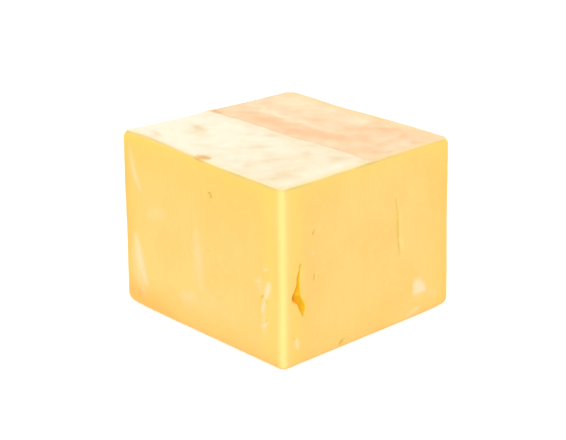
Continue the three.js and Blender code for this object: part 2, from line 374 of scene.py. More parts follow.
# %% Round the edges
LOAF_EDGE_RADIUS = 3.0
KNIFE_EDGE_RADIUS = 1.1
WORN_FRONT_RADIUS = 2.6
WORN_BACK_RADIUS = 3.6
WEAR_BEGINS = 10
BASE_EDGE_RADIUS = 2.0
PRESSED_CORNER_RADIUS = 4.2
PRESS_NEARNESS = 6
TINY = 1e-9


def smooth_step(value, start, end):
    share = np.clip((value - start) / (end - start), 0, 1)
    return share * share * (3 - 2 * share)


def top_edge_radius(x, y):
    front_wear = smooth_step(x, 0, WIDTH / 2) * smooth_step(-y, DEPTH / 4, DEPTH / 2)
    back_wear = smooth_step(-x, 0, WEAR_BEGINS) * smooth_step(y, 0, DEPTH / 2)
    front_extra = (WORN_FRONT_RADIUS - KNIFE_EDGE_RADIUS) * front_wear
    back_extra = (WORN_BACK_RADIUS - KNIFE_EDGE_RADIUS) * back_wear
    return KNIFE_EDGE_RADIUS + front_extra + back_extra


def base_edge_radius(x, y):
    towards_corner = np.maximum(-x * y, 0) / (WIDTH * DEPTH / 4)
    return BASE_EDGE_RADIUS + (PRESSED_CORNER_RADIUS - BASE_EDGE_RADIUS) * towards_corner ** PRESS_NEARNESS


def round_corner(gap_a, gap_b, radius):
    """Moves places near a square corner onto a quarter circle. The gaps are to the two sides."""
    a, b = np.maximum(radius - gap_a, 0), np.maximum(radius - gap_b, 0)
    pull = np.maximum(a, b) / np.maximum(np.hypot(a, b), TINY)
    is_near = (a > 0) & (b > 0)
    return np.where(is_near, radius - a * pull, gap_a), np.where(is_near, radius - b * pull, gap_b)


def round_edges(points):
    x, y, z = points.T
    is_upper = z > HEIGHT / 2
    radius = np.where(is_upper, top_edge_radius(x, y), base_edge_radius(x, y))
    side_gap = np.minimum(WIDTH / 2 - np.abs(x), DEPTH / 2 - np.abs(y))
    level_gap = np.where(is_upper, HEIGHT - z, z)
    inset, drop = round_corner(side_gap, level_gap, radius)
    half_width, half_depth = WIDTH / 2 - inset, DEPTH / 2 - inset
    x = x * half_width / np.maximum(WIDTH / 2 - side_gap, TINY)
    y = y * half_depth / np.maximum(DEPTH / 2 - side_gap, TINY)
    upright_radius = np.maximum(LOAF_EDGE_RADIUS - inset, 0)
    gap_x, gap_y = round_corner(half_width - np.abs(x), half_depth - np.abs(y), upright_radius)
    x = np.sign(x) * (half_width - gap_x)
    y = np.sign(y) * (half_depth - gap_y)
    return np.stack([x, y, np.where(is_upper, HEIGHT - drop, drop)], axis=1)


surface = round_edges(true_box)
print("rounding moved points by up to mm:", round(np.abs(surface - true_box).max(), 2))

# %% [markdown]
# ## Two knife strokes
#
# The top was not cut in one go. One stroke came from the left, a second from the right up to half a
# millimetre lower, and they meet in a crease. A cut is a depth below the flat face, and where two
# cuts overlap the deeper one wins, just as it does with a real knife. Each stroke also tore the
# curd a little, so the top gets a slow random relief that the sides don't have.

# %% Cut to a depth
STROKE_AT_FRONT, STROKE_AT_BACK = 0.25, 0.5
CREASE_SOFTNESS = 0.6
CREASE_WANDER, CREASE_BEND = 0.5, 24
TEAR_LENGTH, TEAR_DEPTH = 7, 0.07


def waves(points, length, seed, number_of_waves=14):
    """A smooth random field from about -1 to 1 that rises and falls over the given length in mm."""
    draw = np.random.default_rng(seed)
    ways = draw.normal(size=(number_of_waves, 3))
    ways *= (2 * np.pi / length / np.linalg.norm(ways, axis=1))[:, None]
    starts = draw.uniform(0, 2 * np.pi, number_of_waves)
    return np.cos(points @ ways.T + starts).sum(axis=1) / math.sqrt(number_of_waves)


def cut(face, depth):
    """Lowers points to a depth below a face, where they aren't deeper already."""
    axis, side = FACES[face]["out"]
    sunk = depth_below(surface, face)
    surface[:, axis] -= (np.maximum(sunk, depth) - sunk) * side


right, back = places(true_box, "top").T
crease_x = np.interp(back, [-DEPTH / 2, DEPTH / 2], [CREASE_AT_FRONT, CREASE_AT_BACK])
past_crease = right - crease_x - waves(true_box * (0, 1, 0), CREASE_BEND, seed=3) * CREASE_WANDER
second_stroke = smooth_step(past_crease, -CREASE_SOFTNESS / 2, CREASE_SOFTNESS / 2)
stroke_depth = np.interp(back, [-DEPTH / 2, DEPTH / 2], [STROKE_AT_FRONT, STROKE_AT_BACK])
tear_relief = (1 + waves(true_box, TEAR_LENGTH, seed=4)) * TEAR_DEPTH
cut("top", second_stroke * stroke_depth + tear_relief.clip(0))
print("second stroke covers", round(float(second_stroke[is_on["top"]].mean()), 2), "of the top's points")

# %% [markdown]
# ## Hollows
#
# The gouge drops steeply under its left lip, and its floor rises to the right one, where the crumb
# was lifted out. All the hollows are real ones in the mesh, because a bump map has no walls, and
# walls are what a hollow shows from the side.

# %% Hollow out the gouge, the slit and the pits
GOUGE_WALL, GOUGE_RISE = 0.9, 0.6


def groove_depth(face, stops, width, depth):
    distance, along = from_path(true_box, face, stops)
    taper = np.sqrt(np.sin(np.pi * along).clip(0))
    half_width = np.maximum(width / 2 * taper, TINY)
    return np.sqrt(np.maximum(1 - (distance / half_width) ** 2, 0)) * depth * taper


def gouge_depth():
    """Depth between the lips: a steep wall at the left one, then a floor that rises to the right one."""
    across, up = places(true_box, "front").T
    lips = [[GOUGE_TOP, *lip, GOUGE_TIP] for lip in (GOUGE_LEFT_LIP, GOUGE_RIGHT_LIP)]
    lines = [curve_through(lip)[0][::-1] for lip in lips]
    left_lip, right_lip = [np.interp(up, line[:, 1], line[:, 0]) for line in lines]
    is_inside = (across > left_lip) & (across < right_lip) & (up < GOUGE_TOP[1]) & (up > GOUGE_TIP[1])
    from_left, from_right = [from_path(true_box, "front", lip)[0] for lip in lips]
    wall = np.sqrt(np.minimum(from_left / GOUGE_WALL, 1))
    rise = (from_right / (from_left + from_right)) ** GOUGE_RISE
    return np.where(is_inside & is_on["front"], wall * rise * GOUGE_DEPTH, 0)


gouge = gouge_depth()
cut("front", gouge)
for name, (face, stops, width, depth) in GROOVES.items():
    groove = groove_depth(face, stops, width, depth)
    cut(face, groove)
    print(f"{name}: {groove.max():.2f} mm deep")
print(f"gouge: {gouge.max():.2f} mm deep, {int((gouge > 0).sum())} points inside")

# %% [markdown]
# ## Softness
#
# Cheese gives under its own weight and under a hand, so no face is truly flat and no corner truly
# square. The corners lean by up to a millimetre and a half, as the solid's do, and a few slow
# waves, each a sum of seeded cosines, bend the faces by about a tenth of that.

# %% Lean and waves
CORNER_LEAN = [
    ((-1, -1, 1), (-0.3, 0.1, -0.5)),
    ((1, -1, 1), (-0.9, 0.9, -0.3)),
    ((-1, 1, 1), (0.5, 0.4, 1.5)),
    ((1, 1, 1), (-0.2, -0.4, -1.3)),
    ((-1, -1, -1), (0, -0.6, 0)),
    ((1, -1, -1), (1, -0.3, 0)),
    ((-1, 1, -1), (-0.1, -0.1, 0)),
]
SLOW_WAVE, SLOW_DEPTH = 34, 0.12
QUICK_WAVE, QUICK_DEPTH = 8, 0.035
FLAT_FOOT = 8
# Dips in the top: the middle, the reach and the depth of each, in mm. A depth below zero is a rise.
DIPS = [((-37, 49), 9, 0.45), ((-9, 49), 6, -0.2), ((44, 49), 16, -0.5), ((49, -14), 24, 0.2)]


def lean(points):
    share_of_box = (points - LOW) / (HIGH - LOW) * 2 - 1
    shift = np.zeros_like(points)
    for side, corner_shift in CORNER_LEAN:
        share = np.prod((1 + np.array(side) * share_of_box) / 2, axis=1)
        shift += share[:, None] * np.array(corner_shift)
    return points + shift


above_base = smooth_step(surface[:, 2], 0, FLAT_FOOT)
upper_half = smooth_step(true_box[:, 2], HEIGHT / 2, HEIGHT)
for axis in range(3):
    bend = waves(true_box, SLOW_WAVE, seed=axis) * SLOW_DEPTH
    bend += waves(true_box, QUICK_WAVE, seed=10 + axis) * QUICK_DEPTH
    surface[:, axis] += bend * above_base
for dip_middle, reach, depth in DIPS:
    off = np.linalg.norm(places(true_box, "top") - dip_middle, axis=1)
    surface[:, 2] -= np.exp(-(off / reach) ** 2) * depth * upper_half
surface = lean(surface)
middle = (surface.min(axis=0) + surface.max(axis=0)) / 2
surface[:, :2] -= middle[:2] - np.array((cad_low + cad_high) / 2)[:2] / MM
print("size in mm:", (surface.max(axis=0) - surface.min(axis=0)).round(2))

# %% [markdown]
# ## Stains on the sides
#
# A scuff is curd that was scraped dry, so it is paler than the skin around it. The skin is thicker
# and warmer along the rims, and darker towards the bottom. The upright edge nearest the eye gets a painted
# highlight, a paler tone along it where the light falls most. Such borders are soft, so each kind of stain
# is kept as a number from 0 to 1 on every point of the mesh, and the finish turns the numbers into colour
# later.

# %% Stain the sides
STAINS = {}


def heap(layers):
    """Lays stains over one another without passing 1."""
    bare = np.ones(len(true_box))
    for layer in layers:
        bare *= 1 - np.clip(layer, 0, 1)
    return 1 - bare


def soft_streak(face, stops, width, strength, points=true_box):
    """A lens along a path, with a soft border and pointed ends."""
    distance, along = from_path(points, face, stops)
    taper = np.sqrt(np.sin(np.pi * along).clip(0))
    return np.exp(-(distance / np.maximum(width * taper, TINY)) ** 2) * taper * strength


# Per side: how strong a tone is at its rim or its foot, and over how many mm it fades
RIPE_RIMS = {"left": (0.6, 24)}
GOLD_RIMS = {"left": (0.65, 5), "front": (0.65, 5), "back": (0.5, 5), "right": (0.5, 5)}
DARKER_FEET = {"left": (0.75, 6), "front": (0.35, 10), "back": (0.5, 6), "right": (0.5, 6)}
# Darker streaks along the left side's foot and along its far upright edge: face, path, width and strength
DARKER_STREAKS = [
    ("left", [(-56, 9), (-40, 4.5), (-10, -2)], 6, 0.9),
    ("left", [(-50, 76), (-50, 0)], 5, 0.8),
]
# The near sides ripen towards their far ends, over this many mm, and the hidden sides are ripe all over
RIPE_ENDS, END_FADE = 1, 7
# Beside the near upright edge: how strong the golden strips are, where they are and how wide
GOLD_STRIPS, STRIP_AT, STRIP_WIDTH = 0.5, 7, 4
# How far the painted highlight on that edge reaches, in mm, on each side of it
HIGHLIGHT_LEFT, HIGHLIGHT_FRONT = 2.2, 3.4
# The slit's right-hand lip gets a painted highlight too, a paler tone where it faces the light
LIT_LIPS = [
    ("front", [(17.5, 53), (18, 46), (18.5, 33)], 0.6, 0.6),
    ("front", [(18.1, 39), (19, 33)], 0.7, 0.9),
]
x, y, z = true_box.T
from_near_edge = np.where(is_on["front"], x - LOW[0], y - LOW[1])
is_by_near_edge = is_on["front"] | is_on["left"]
rub_reach = np.where(is_on["front"], HIGHLIGHT_FRONT, HIGHLIGHT_LEFT)
to_far_ends = np.minimum(HIGH[0] - x, HIGH[1] - y)


def side_tone(sides, gap):
    """The strongest of the tones that fade over the sides, each with its own strength and distance."""
    tones = [strength * np.exp(-gap / fade) * is_on[face] for face, (strength, fade) in sides.items()]
    return np.max(tones, axis=0)


strips = GOLD_STRIPS * np.exp(-((from_near_edge - STRIP_AT) / STRIP_WIDTH) ** 2) * is_by_near_edge
ends = RIPE_ENDS * np.exp(-to_far_ends / END_FADE)
# A painted highlight along the near upright edge and on the slit's right-hand lip
rubbed_edge = np.exp(-(from_near_edge / rub_reach) ** 2) * is_by_near_edge
STAINS["scuff"] = heap(soft_streak(*scuff) for scuff in SCUFFS)
STAINS["rub"] = heap([rubbed_edge, *(soft_streak(*lip) for lip in LIT_LIPS)])
STAINS["gold"] = heap([side_tone(GOLD_RIMS, HEIGHT - z), strips])
STAINS["ripe"] = heap([side_tone(RIPE_RIMS, HEIGHT - z), ends])
STAINS["damp"] = heap([side_tone(DARKER_FEET, z), *(soft_streak(*streak) for streak in DARKER_STREAKS)])
print("scuffed points:", int((STAINS["scuff"] > 0.2).sum()))

# %% [markdown]
# ## Two tones on the top
#
# The first stroke left a dry cream-white top, the second a peach one, because it went through fresher
# curd. The cream-white is partly a painted sheen, where that half caught the light. Neither is even: the
# knife smeared darker and lighter streaks along its way, and beside the crease the peach is painted darker
# as shade. A long smear or band follows a path, as the scuffs do. A short one is an oval with a soft
# border, given by its middle, its half length and half width in mm, how it is turned, and how strong it is.
# Where the strokes meet, a thin tan line of painted shadow lies beside the step.

# %% Smears on the top
CREAM_SMEARS = [
    ((-24, 28), 8, 3.8, 62, 0.9), ((-42.5, 34), 5, 2.2, 55, 0.75), ((-38, 11), 4, 2.5, 55, 0.35),
    ((-11, 11), 4, 2.5, 0, 0.5), ((-7, 3), 3, 3, 0, 0.35), ((-20, -6), 6, 2.5, -35, 0.4),
    ((-27, -20), 6, 3, 0, 0.4), ((-38, -20), 5, 2, 20, 0.4), ((-39, -37), 8.5, 3.8, 0, 0.7),
    ((-7, -38), 3, 4, 0, 0.5), ((-15, -28), 5, 3, 30, 0.35), ((-46.5, -1), 4.5, 3.5, 0, 0.9),
]
CLEAN_SMEARS = [((-13, -45), 14, 4, 0, 0.7), ((-36, -47), 12, 2.5, 0, 0.5)]
# A band of painted shade on the peach beside the crease: its path, width and strength
CREASE_SHADE_PATH = [(2, 50), (7, 40), (8.5, 30), (8, 18), (7.5, 6), (9.5, -5), (12, -15), (17, -25), (24, -33)]
CREASE_SHADE_WIDTH, CREASE_SHADE_STRENGTH = 6.5, 0.85
DEEP_SMEARS = [
    ((26, 9), 4.5, 3.5, 80, 0.5), ((27, 21), 3, 2, 45, 0.25), ((33, -16), 6, 4, -40, 0.6),
    ((36, -24), 6, 5, -30, 0.7), ((38, -35), 7, 5, 0, 0.45), ((27, 42), 5, 5, 0, 0.3),
    ((27, -36), 3, 2.5, 0, 0.4), ((35, -45), 4, 2, 0, 0.4), ((11, -13), 6, 4.5, -50, 0.8),
    ((13, -38), 10, 8, 0, 0.6), ((20, -21), 6, 5, 0, 0.35), ((28, -11), 4, 4, 0, 0.4),
]
PALE_PATH = [(26, 52), (20, 37), (17.5, 22), (17, 8), (19, -14)]
PALE_WIDTH, PALE_STRENGTH = 3, 0.9
PALE_SMEARS = [
    ((38, -6), 7, 5, 0, 0.8), ((43, 15), 9, 5, 90, 0.8), ((39, 33), 13, 9, 60, 0.7),
    ((36, 3), 6, 4, 0, 0.5), ((25, -42), 6, 4, 0, 0.4), ((32, 15), 6, 6, 0, 0.4),
    ((46, -22), 6, 3, 90, 0.5), ((6, 38), 5, 6, 0, 0.3),
]
SMEAR_WANDER, SMEAR_BEND = 1.2, 9
wandering = true_box.copy()
for axis in range(2):
    wandering[:, axis] += waves(true_box, SMEAR_BEND, seed=21 + axis) * SMEAR_WANDER


def smear(middle, length, width, turn, strength):
    """An oval with a soft and slightly ragged border."""
    angle = math.radians(turn)
    off_right, off_back = (places(wandering, "top") - middle).T
    along = off_right * math.cos(angle) + off_back * math.sin(angle)
    aside = off_back * math.cos(angle) - off_right * math.sin(angle)
    return np.exp(-(along / length) ** 2 - (aside / width) ** 2) * strength


print("smears:", sum(len(ovals) for ovals in (CREAM_SMEARS, CLEAN_SMEARS, DEEP_SMEARS, PALE_SMEARS)))

# %% Stain the top
# The cream darkens towards the front: how much, and between which places
FRONT_TONE, FRONT_TONE_FROM, FRONT_TONE_TO = 0.38, 25, -40
TONE_BLEED = 1
# Left of the crease the first stroke dragged some curd along: how strong, how far off and how wide
DRAG_TONE, DRAG_AT, DRAG_WIDTH = 0.35, -3.5, 3.5
towards_front = smooth_step(back, FRONT_TONE_FROM, FRONT_TONE_TO) * FRONT_TONE
# The darker peach band beside the crease is painted shade, and the darker smears are real mottle
crease_shade_streak = soft_streak("top", CREASE_SHADE_PATH, CREASE_SHADE_WIDTH, CREASE_SHADE_STRENGTH, wandering)
pale_streak = soft_streak("top", PALE_PATH, PALE_WIDTH, PALE_STRENGTH, wandering)
dark_smears_and_shade = heap([crease_shade_streak, *(smear(*oval) for oval in DEEP_SMEARS)])
pale = heap([pale_streak, *(smear(*oval) for oval in PALE_SMEARS)])
clean = heap(smear(*oval) for oval in CLEAN_SMEARS)
dragged = np.exp(-((past_crease - DRAG_AT) / DRAG_WIDTH) ** 2) * DRAG_TONE
cream_smears = [towards_front, dragged, *(smear(*oval) for oval in CREAM_SMEARS)]
STAINS["cream_tone"] = heap(cream_smears) * (1 - clean)
STAINS["peach_tone"] = (1 + dark_smears_and_shade - pale) / 2
# Which stroke each point lies in. The first stroke's cream-white is partly a painted sheen
STAINS["second_stroke"] = smooth_step(past_crease, -TONE_BLEED, TONE_BLEED)
cream_mean, peach_mean = STAINS["cream_tone"].mean(), STAINS["peach_tone"].mean()
print(f"mean tones: cream {cream_mean:.2f}, peach {peach_mean:.2f}")

# %% [markdown]
# ## Where the cut top ends
#
# The yellow skin doesn't stop at the rim. At the worn back left-hand corner it folds a millimetre or
# two onto the top, and along most of the two near rims the cut's pale tone runs a little way down the
# side instead. Both are one measure: how far a point is from the sharp rim along the surface, inwards
# on the top and below zero on a side. A butter tone follows the same line, and so does a thin, patchy
# olive line of painted shade just below the rim.

# %% Border of the top
# Along each rim, facing that side: places right of its middle, and how far the skin folds in there
FOLDS = {
    "left": ([-46, -40, -34, -22, -12, 0, 12, 40, 49], [1.2, 1.6, 1.9, 1.3, 0.4, -0.1, -0.4, -0.3, -0.1]),
    "front": ([-45, -38, -12, 0, 12, 20, 42], [-0.2, -0.3, -0.3, -0.1, -0.1, -0.2, 0.3]),
    "back": ([-40, 40], [0.3, 0.3]),
    "right": ([-40, 40], [0.4, 0.4]),
}
# How strong the butter tone is at each rim, and over how many mm it fades
BUTTER_RIMS = {"left": (0.6, 1.3), "front": (0.75, 1.5), "back": (0.2, 2), "right": (0.6, 5)}
# Over how many mm the cut's tone fades on either side of that line
FADE_DOWN, FADE_IN = 1.3, 0.8
# A thin line of painted shade: where it lies past the rim in mm, how wide and how strong
RIM_SHADE_AT, RIM_SHADE_WIDTH, RIM_SHADE_STRENGTH = -0.7, 0.6, 0.9
# The painted rim shade comes and goes: over how many mm, around which share, by how much and within which
# limits
PATCH_LENGTH, PATCH_MEAN, PATCH_SWING, PATCH_LIMITS = 13, 0.85, 0.25, (0.4, 1.2)

past_fold, butters = np.full(len(true_box), FAR), []
for face, (stops, folds) in FOLDS.items():
    along, up = places(true_box, face).T
    from_rim = depth_below(true_box, face) - (HEIGHT - up)
    past_this_fold = from_rim - np.interp(along, stops, folds)
    past_fold = np.minimum(past_fold, past_this_fold)
    strength, fade = BUTTER_RIMS[face]
    butters.append(strength * np.exp(-np.maximum(past_this_fold, 0) / fade))
STAINS["top"] = smooth_step(past_fold, -FADE_DOWN, FADE_IN)
# A thin, patchy olive line of painted shade just below the rim
patchy = (PATCH_MEAN + waves(true_box, PATCH_LENGTH, seed=31) * PATCH_SWING).clip(*PATCH_LIMITS)
STAINS["seam"] = np.exp(-((past_fold - RIM_SHADE_AT) / RIM_SHADE_WIDTH) ** 2) * RIM_SHADE_STRENGTH * patchy
STAINS["butter"] = heap(butters) * is_on["top"]
print("points on the cut top:", int((STAINS["top"] > 0.5).sum()))

# %% [markdown]
# ## Tones of the hollows
#
# The gouge opened moist inner curd, which is painted a deeper orange the deeper it lies, partly as
# shade, and the shadow under its steep left lip is painted dark. The slit and the pits hold an olive tone
# of painted shade. The side smudges hold the same olive, as dirt, and beside the pits and the slit as
# shade.
# The foot of the block gets a thin olive band. On the cut top, the tears and the smudges are tan, and the
# crease gets a thin tan line of painted shadow beside its step. Each tone spreads a little past its hollow.

# %% Stain the hollows
TEARS = {"edge_tear": (1.9, 1), "crease_tear": (1.8, 0.7)}
FAINT_PITS = {"long_pit": 0.6, "short_pit": 0.45, "scuff_pit": 0.7, "low_scuff_pit": 0.6, "gouge_end": 0.3}
HIDDEN_PIT_TONE = 0.5
FAINT_PITS |= {name: HIDDEN_PIT_TONE for name, groove in GROOVES.items() if groove[0] in HIDDEN_FACES}
# The pits' olive is painted shade: how wide it spreads, as a share of each pit's width
PIT_SPREAD = 0.62
# A thin olive band along the very foot: how strong, and over how many mm it fades
FOOT_OLIVE, FOOT_OLIVE_FADE = 0.25, 0.7
# Along the crease, from front to back: how strong its tan line of painted shadow beside the step is
CREASE_SHADOW_AT = [-49, -41, -35, -27, -18, -4, 2, 8, 13, 17, 24, 31, 38, 49]
CREASE_SHADOW = [0.1, 0.35, 0.2, 0.5, 0.15, 0.35, 0.2, 0.45, 0.2, 0.5, 0.25, 0.5, 0.55, 0.55]
CREASE_SHADOW_WIDTH = 1.2
# Painted shadow under the gouge's lips, as paths with a width and a strength
LIP_SHADOWS = [
    ("front", [(-39, 43.2), (-39.5, 41)], 0.7, 1),
    ("front", [(-39.6, 41.6), (-39.9, 38)], 0.45, 0.9),
    ("front", [(-40.7, 39), (-40.8, 36.4), (-41, 33.4)], 0.5, 0.9),
    ("front", [(-42, 33.2), (-43, 31.4), (-43.6, 29.6)], 0.4, 0.8),
    ("front", [(-44.2, 29.8), (-42.7, 28.4), (-40.8, 27)], 0.65, 1),
    ("front", [(-40.4, 25.6), (-39.2, 23.6), (-37.8, 21.4), (-37.4, 20.2)], 0.7, 1),
]
MOIST_EDGE = ("front", [(-38.4, 29.5), (-36.9, 26), (-36.6, 21.6)], 1.1, 0.06)
# The deep core under the left lip is painted a moist, deeper orange, partly as shade
MOIST_SHADED_FLOOR = ("front", [(-39.7, 40), (-40, 35.5), (-40.4, 31), (-40.6, 28)], 1.6, 0.68)

# The olive in the slit and the pits is painted shade, and the side smudges add it as dirt and as shade
pit_shades = [
    soft_streak(face, stops, width * PIT_SPREAD, FAINT_PITS.get(name, 1))
    for name, (face, stops, width, depth) in GROOVES.items() if name not in TEARS
]
smudges_and_pit_shade = [soft_streak(*dark_streak) for dark_streak in SMUDGES_AND_PAINTED_SHADE if dark_streak[0] != "top"]
STAINS["pit"] = heap([*pit_shades, *smudges_and_pit_shade, FOOT_OLIVE * np.exp(-z / FOOT_OLIVE_FADE)])
tears = [soft_streak(*GROOVES[name][:2], *spread) for name, spread in TEARS.items()]
bruises = [soft_streak(*dark_streak) for dark_streak in SMUDGES_AND_PAINTED_SHADE if dark_streak[0] == "top"]
# A thin tan line of painted shadow beside the crease's step
crease_shadow = np.interp(back, CREASE_SHADOW_AT, CREASE_SHADOW) * np.exp(-(past_crease / CREASE_SHADOW_WIDTH) ** 2) * is_on["top"]
STAINS["tear"] = heap([*tears, *bruises, crease_shadow])
# The gouge's tone follows its depth, so its deepest part is painted more orange, partly as shade
moist_shaded_floor = soft_streak(*MOIST_SHADED_FLOOR) * (gouge > 0)
STAINS["gouge"] = np.maximum.reduce([gouge / GOUGE_DEPTH, moist_shaded_floor, soft_streak(*MOIST_EDGE)])
# Painted shadow under the gouge's left lip
STAINS["lip"] = heap(soft_streak(*lip) for lip in LIP_SHADOWS)
print("points in pits:", int((STAINS["pit"] > 0.3).sum()), " in tears:", int((STAINS["tear"] > 0.3).sum()))

# %% [markdown]
# ## One mesh
#
# The points go back into the skin, and the skin becomes one mesh object. It rides on the solid's
# body, takes the place of the solid's own plain skin, and fills its one material slot.

# %% The mesh
for vertex, place in zip(skin.verts, surface * MM):
    vertex.co = place
mesh = bpy.data.meshes.new("cheese")
skin.to_mesh(mesh)
skin.free()
mesh.shade_smooth()
for name, values in STAINS.items():
    stain = mesh.attributes.new(name, "FLOAT", "POINT")
    stain.data.foreach_set("value", values.astype(np.float32))
cheese = bpy.data.objects.new("cheese", mesh)
bpy.context.scene.collection.objects.link(cheese)
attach(cheese, "root")
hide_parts("cheese_block")
print("triangles:", sum(len(square.vertices) - 2 for square in mesh.polygons))

# %% [markdown]
# ## The finish
#
# Monterey jack is a pressed curd of fat, protein and water. The block has three kinds of surface:
# pressed, cut and torn. They could be three materials, but then their borders would be hard. One
# material mixes all three by the stains of the mesh, so the borders stay as soft as the real ones.
# Colours are written as sRGB hex, as on a paint chart, and one function turns them into the linear
# values of the shader. Another adds a node, so that each step is one readable statement.

# %% Helpers for materials
def linear(hex_colour):
    """An sRGB hex colour as the four linear values of a shader socket."""
    parts = [int(hex_colour[i:i + 2], 16) / 255 for i in (1, 3, 5)]
    return [p / 12.92 if p <= 0.04045 else ((p + 0.055) / 1.055) ** 2.4 for p in parts] + [1]


def add(tree, kind, inputs, output=0, **settings):
    """Adds a node with its settings, fills its inputs with values or links, and gives an output, if any."""
    node = tree.nodes.new(kind)
    for setting, value in settings.items():
        setattr(node, setting, value)
    for name, value in inputs.items():
        if isinstance(value, bpy.types.NodeSocket):
            tree.links.new(value, node.inputs[name])
        else:
            node.inputs[name].default_value = value
    return node.outputs[output] if node.outputs else None


# A colour mix is asked for by the numbers of its sockets, because several share a name
SHARE, UNDER, OVER, MIXED = 0, 6, 7, 2
print("a mid yellow as linear colour:", [round(v, 3) for v in linear("#F0C172")])

# %% [markdown]
# ## The pressed skin
#
# The sides dried against the wall of a mould, which left a skin. A photograph could be wrapped around
# them, but it has a fixed number of dots and it brings its own light along. Noise at a few real sizes
# is drawn as finely as the eye comes near, and each stain is laid over the last as a painter glazes.

# %% Curd that was pressed in a mould
# A waxy yellow skin. Slow clouds, faint upright streaks from the mould's wall and a fine mottle keep
# it from looking like paint. It is warmer at the rims, darker towards the bottom and pale where it was
# scuffed, and a painted highlight makes it paler along the near upright edge and the slit's right lip.
CURD = "#E9BA67"
CURD_CLOUD = "#E6B45D"
CURD_MOTTLE = "#EBC173"
CURD_RIPE = "#E4B548"
CURD_GOLD = "#E4C154"
# A darker tone towards the bottom of the sides
CURD_DARKER = "#E7A648"
# A paler tone for the painted highlight on the near upright edge
CURD_HIGHLIGHT = "#EBC575"
CURD_SCRAPED = "#EECCA9"
CLOUD_MM, STREAK_MM, MOTTLE_MM, CRUMB_MM = 26, 5, 3, 1.4

jack = bpy.data.materials.new("monterey_jack_pressed_cut_and_handled")
jack.use_nodes = True
tree = jack.node_tree
tree.nodes.clear()
position = add(tree, "ShaderNodeTexCoord", {}, "Object")
upright = add(tree, "ShaderNodeMapping", {"Vector": position, "Scale": (1, 1, 0.12)})
stains = {name: add(tree, "ShaderNodeAttribute", {}, "Fac", attribute_name=name) for name in STAINS}

clouds = add(tree, "ShaderNodeTexNoise", {"Vector": position, "Scale": 1 / (CLOUD_MM * MM), "Detail": 3})
streaks = add(tree, "ShaderNodeTexNoise", {"Vector": upright, "Scale": 1 / (STREAK_MM * MM), "Detail": 3})
mottle = add(tree, "ShaderNodeTexNoise", {"Vector": position, "Scale": 1 / (MOTTLE_MM * MM), "Detail": 4})
crumbs = add(tree, "ShaderNodeTexNoise", {"Vector": position, "Scale": 1 / (CRUMB_MM * MM), "Detail": 4})
ramp = {"Value": clouds, "From Min": 0.42, "From Max": 0.62, "To Max": 0.8}
cloudy = add(tree, "ShaderNodeMapRange", ramp)
ramp = {"Value": streaks, "From Min": 0.5, "From Max": 0.7, "To Max": 0.45}
streaky = add(tree, "ShaderNodeMapRange", ramp)
ramp = {"Value": mottle, "From Min": 0.5, "From Max": 0.75, "To Max": 0.5}
mottled = add(tree, "ShaderNodeMapRange", ramp)
ramp = {"Value": crumbs, "From Min": 0.3, "From Max": 0.55, "To Min": 0.6}
broken = add(tree, "ShaderNodeMapRange", ramp)
scuffed = add(tree, "ShaderNodeMath", {0: stains["scuff"], 1: broken}, operation="MULTIPLY")

side = linear(CURD)
for share, tone in (
    (cloudy, CURD_CLOUD), (streaky, CURD_CLOUD), (mottled, CURD_MOTTLE), (stains["ripe"], CURD_RIPE),
    (stains["gold"], CURD_GOLD), (stains["damp"], CURD_DARKER), (stains["rub"], CURD_HIGHLIGHT),
    (scuffed, CURD_SCRAPED),
):
    mix = {SHARE: share, UNDER: side, OVER: linear(tone)}
    side = add(tree, "ShaderNodeMix", mix, MIXED, data_type="RGBA")
print("nodes so far:", len(tree.nodes))

# %% [markdown]
# ## The cut top
#
# The knife took the skin off, so the top is matt and pale, and each stroke has its own tone. The first
# stroke's cream-white is partly a painted sheen, and beside the crease the peach is darkened by painted
# shade. Noise alone could make it blotchy, but the smears of a real cut lie where the knife dragged. So
# the painted stains choose between a light and a dark tone, and noise only breaks them up.

# %% Curd that a knife cut open
# A dry, chalky top with no skin: cream-white from the first stroke, partly a painted sheen, and peach
# from the second, each blended between a light and a dark tone. The dark peach also carries the painted
# shade beside the crease. The fine mottle breaks the tones up into curd grains.
CREAM_LIGHT, CREAM_DARK = "#F1E6CD", "#E2CBA0"
PEACH_LIGHT, PEACH_DARK = "#F9DCB8", "#F3BA8B"
# The olive is for the painted shade just below the rim
BUTTER, RIM_SHADE = "#EACB8A", "#C6B068"
SMEAR_MM, SMEAR_SHARE = 7, 0.22

fine_smears = add(tree, "ShaderNodeTexNoise", {
    "Vector": position, "Scale": 1 / (SMEAR_MM * MM), "Detail": 5, "Roughness": 0.6,
})
ramp = {"Value": fine_smears, "From Min": 0.3, "From Max": 0.7}
ramp |= {"To Min": -SMEAR_SHARE, "To Max": SMEAR_SHARE}
grainy = add(tree, "ShaderNodeMapRange", ramp)
cut_tones = []
for tone, light, dark in (
    ("cream_tone", CREAM_LIGHT, CREAM_DARK), ("peach_tone", PEACH_LIGHT, PEACH_DARK),
):
    share = add(tree, "ShaderNodeMath", {0: stains[tone], 1: grainy}, operation="ADD", use_clamp=True)
    mix = {SHARE: share, UNDER: linear(light), OVER: linear(dark)}
    cut_tones.append(add(tree, "ShaderNodeMix", mix, MIXED, data_type="RGBA"))
mix = {SHARE: stains["second_stroke"], UNDER: cut_tones[0], OVER: cut_tones[1]}
cut_face = add(tree, "ShaderNodeMix", mix, MIXED, data_type="RGBA")
mix = {SHARE: stains["butter"], UNDER: cut_face, OVER: linear(BUTTER)}
cut_face = add(tree, "ShaderNodeMix", mix, MIXED, data_type="RGBA")
colour = side
for share, tone in ((stains["top"], cut_face), (stains["seam"], linear(RIM_SHADE))):
    mix = {SHARE: share, UNDER: colour, OVER: tone}
    colour = add(tree, "ShaderNodeMix", mix, MIXED, data_type="RGBA")
print("nodes so far:", len(tree.nodes))

